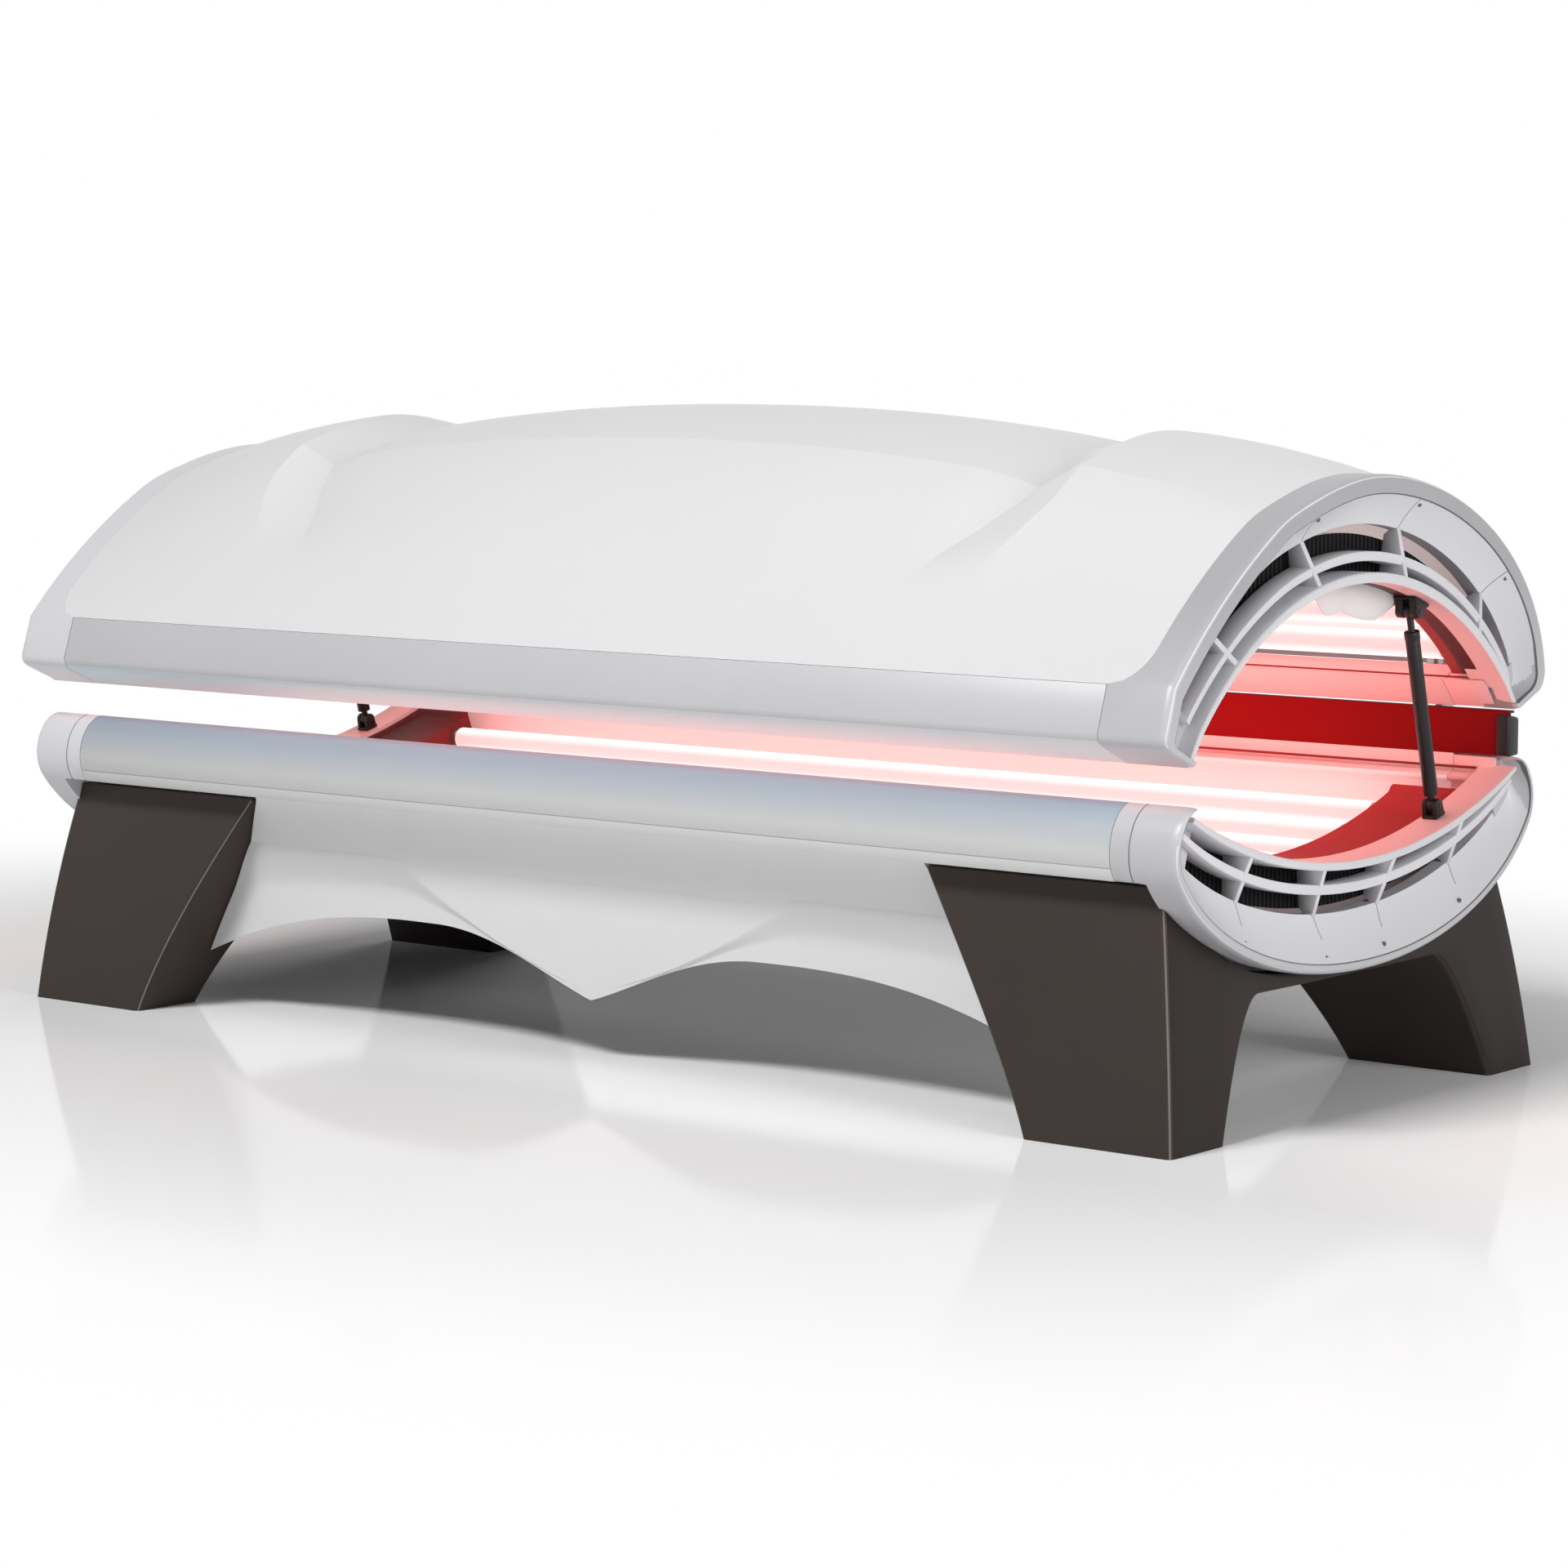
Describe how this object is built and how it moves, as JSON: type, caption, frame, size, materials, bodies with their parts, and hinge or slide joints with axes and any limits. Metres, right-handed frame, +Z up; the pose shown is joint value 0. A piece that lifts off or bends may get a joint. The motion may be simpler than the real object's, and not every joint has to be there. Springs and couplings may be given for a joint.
{
  "type": "red light therapy bed",
  "caption": "Clamshell lamp bed: curved clear lying surface over lamps on leg arches, under a rear-hinged lamp canopy that lifts on gas springs, with vented end frames.",
  "frame": {"origin": "on the floor under the middle of the bed", "axes": "+X along the bed, -Y towards the side the user climbs in from, +Z up"},
  "size_m": [2.214, 0.998, 0.9648],
  "materials": {
    "shell_white": "gloss moulding",
    "frame_grey": "satin moulding",
    "strip_grey": "satin paint",
    "rail_silver": "satin anodised",
    "leg_brown": "satin moulding",
    "acrylic_clear": "clear, lit red from behind",
    "lamp_glow": "lit lamp",
    "reflector_bright": "bright rolled",
    "socket_red": "red in the lamps' light",
    "black_metal": "black paint",
    "steel": "bare",
    "zinc_sheet": "zinc plated",
    "black_plastic": "moulded"
  },
  "bodies": {
    "bench": {"bench_tub": "shell_white", "bench_skirt": "shell_white", "bench_end_frame_left": "frame_grey", "bench_end_frame_right": "frame_grey", "bench_front_rail": "rail_silver", "bench_rear_rail": "rail_silver", "leg_arch_left": "leg_brown", "leg_arch_right": "leg_brown", "bench_acrylic": "acrylic_clear", "bench_lamp_01": "lamp_glow", "bench_lamp_02": "lamp_glow", "bench_lamp_03": "lamp_glow", "bench_lamp_04": "lamp_glow", "bench_lamp_05": "lamp_glow", "bench_lamp_06": "lamp_glow", "bench_lamp_07": "lamp_glow", "bench_lamp_08": "lamp_glow", "bench_lamp_09": "lamp_glow", "bench_reflector": "reflector_bright", "bench_socket_cover_left": "socket_red", "bench_socket_cover_right": "socket_red", "rear_panel": "black_metal", "gas_spring_lower_mount_left": "black_metal", "gas_spring_lower_mount_right": "black_metal", "hinge_shaft": "steel", "hinge_bracket_left": "steel", "hinge_bracket_right": "steel", "bench_chassis": "zinc_sheet", "ballast_tray": "zinc_sheet", "fan_housing": "black_plastic", "mains_inlet": "black_plastic"},
    "canopy": {"canopy_shell": "shell_white", "canopy_front_rail": "strip_grey", "canopy_rear_rail": "rail_silver", "canopy_end_frame_left": "frame_grey", "canopy_end_frame_right": "frame_grey", "canopy_acrylic": "acrylic_clear", "canopy_reflector": "reflector_bright", "canopy_socket_cover_left": "socket_red", "canopy_socket_cover_right": "socket_red", "canopy_lamp_01": "lamp_glow", "canopy_lamp_02": "lamp_glow", "canopy_lamp_03": "lamp_glow", "canopy_lamp_04": "lamp_glow", "canopy_lamp_05": "lamp_glow", "canopy_lamp_06": "lamp_glow", "canopy_lamp_07": "lamp_glow", "canopy_lamp_08": "lamp_glow", "canopy_lamp_09": "lamp_glow", "canopy_lamp_10": "lamp_glow", "canopy_lamp_11": "lamp_glow", "hinge_lug_left": "steel", "hinge_lug_right": "steel", "gas_spring_upper_mount_left": "black_metal", "gas_spring_upper_mount_right": "black_metal"},
    "fan": {"fan_rotor": "black_plastic"},
    "cylinder_left": {"gas_spring_cylinder_left": "black_metal"},
    "cylinder_right": {"gas_spring_cylinder_right": "black_metal"},
    "rod_left": {"gas_spring_rod_left": "steel"},
    "rod_right": {"gas_spring_rod_right": "steel"}
  },
  "joints": [
    {"name": "canopy_hinge", "type": "hinge", "parent": "bench", "child": "canopy", "pos_m": [0, 0.452, 0.60481], "axis": [-1, 0, 0], "range_deg": [0, 40]},
    {"name": "cylinder_pivot_left", "type": "hinge", "parent": "bench", "child": "cylinder_left", "pos_m": [-1.064, 0.249, 0.40278], "axis": [-1, 0, 0], "range_deg": [0, 20]},
    {"name": "rod_pivot_left", "type": "hinge", "parent": "canopy", "child": "rod_left", "pos_m": [-1.064, 0.17706, 0.685], "axis": [-1, 0, 0], "range_deg": [-20, 0]},
    {"name": "cylinder_pivot_right", "type": "hinge", "parent": "bench", "child": "cylinder_right", "pos_m": [1.064, 0.249, 0.40278], "axis": [-1, 0, 0], "range_deg": [0, 20]},
    {"name": "rod_pivot_right", "type": "hinge", "parent": "canopy", "child": "rod_right", "pos_m": [1.064, 0.17706, 0.685], "axis": [-1, 0, 0], "range_deg": [-20, 0]},
    {"name": "fan_spin", "type": "hinge", "parent": "bench", "child": "fan", "pos_m": [-0.45, 0, 0.2], "axis": [0, 0, 1], "continuous": true}
  ],
  "couplings": [
    {"joint": "cylinder_pivot_left", "follows": "canopy_hinge", "ratio": 0.5},
    {"joint": "rod_pivot_left", "follows": "canopy_hinge", "ratio": -0.5},
    {"joint": "cylinder_pivot_right", "follows": "canopy_hinge", "ratio": 0.5},
    {"joint": "rod_pivot_right", "follows": "canopy_hinge", "ratio": -0.5}
  ]
}
